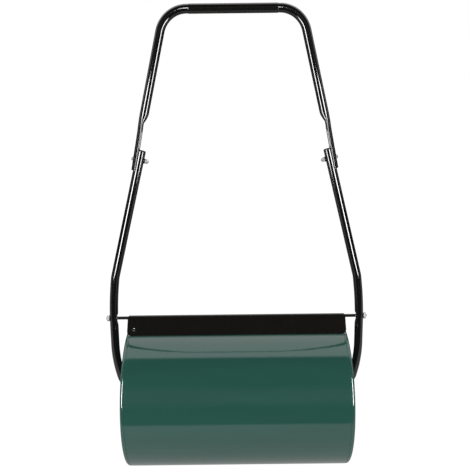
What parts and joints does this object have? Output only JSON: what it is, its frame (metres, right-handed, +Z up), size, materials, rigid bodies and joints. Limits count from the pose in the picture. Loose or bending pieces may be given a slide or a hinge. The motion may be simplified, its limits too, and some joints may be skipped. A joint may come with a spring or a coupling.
{
  "type": "lawn roller",
  "caption": "Push lawn roller: fillable steel drum on an axle, bent tube arms with a bolted U-shaped handle, and a hinged scraper plate that rests on the drum.",
  "frame": {"origin": "on the ground, straight below the middle of the drum, at the bottom of the part's box", "axes": "+X along the axle towards the end with the filler plug, +Y away from the scraper's side, +Z up along the upright handle"},
  "size_m": [0.5936, 0.32, 1.0293],
  "materials": {
    "drum_green": "gloss powder coat",
    "frame_black": "gloss powder coat",
    "scraper_black": "satin powder coat",
    "grip_black": "matt shrunk-on sleeve",
    "zinc": "bright zinc plate",
    "bare_steel": "plain drawn tube",
    "bush_nylon": "moulded nylon",
    "plug_black": "fine moulded texture",
    "seal_rubber": "matt rubber"
  },
  "bodies": {
    "frame": {"left_side_arm": "frame_black", "right_side_arm": "frame_black", "upper_handle": "frame_black", "handle_grip": "grip_black", "axle_shaft": "zinc", "left_axle_spacer": "zinc", "right_axle_spacer": "zinc", "left_axle_washer": "zinc", "right_axle_washer": "zinc", "left_axle_nut": "zinc", "right_axle_nut": "zinc", "left_handle_bolt": "zinc", "right_handle_bolt": "zinc", "left_handle_washer": "frame_black", "right_handle_washer": "frame_black", "left_handle_nut": "zinc", "right_handle_nut": "zinc", "scraper_rod": "frame_black", "left_rod_nut": "zinc", "right_rod_nut": "zinc"},
    "drum": {"drum_shell": "drum_green", "left_drum_end": "drum_green", "right_drum_end": "drum_green", "drum_core_tube": "bare_steel", "left_axle_bush": "bush_nylon", "right_axle_bush": "bush_nylon", "filler_boss": "drum_green"},
    "plug_seal": {"plug_seal": "seal_rubber"},
    "filler_plug": {"filler_plug": "plug_black"},
    "scraper": {"scraper_plate": "scraper_black"}
  },
  "joints": [
    {"name": "drum_spin", "type": "hinge", "parent": "frame", "child": "drum", "pos_m": [0, 0, 0.16], "axis": [1, 0, 0], "continuous": true},
    {"name": "scraper_swing", "type": "hinge", "parent": "frame", "child": "scraper", "pos_m": [0, 0, 0.35], "axis": [-1, 0, 0], "range_deg": [0, 272.5]},
    {"name": "plug_seal_travel", "type": "slide", "parent": "drum", "child": "plug_seal", "axis": [1, 0, 0], "range_m": [0, 0.0121]},
    {"name": "plug_turn", "type": "hinge", "parent": "plug_seal", "child": "filler_plug", "pos_m": [0.24, 0.0594, 0.2194], "axis": [1, 0, 0], "range_deg": [0, 1440]}
  ],
  "couplings": [
    {"joint": "plug_seal_travel", "follows": "plug_turn", "m_per_rad": 0.00047746}
  ]
}
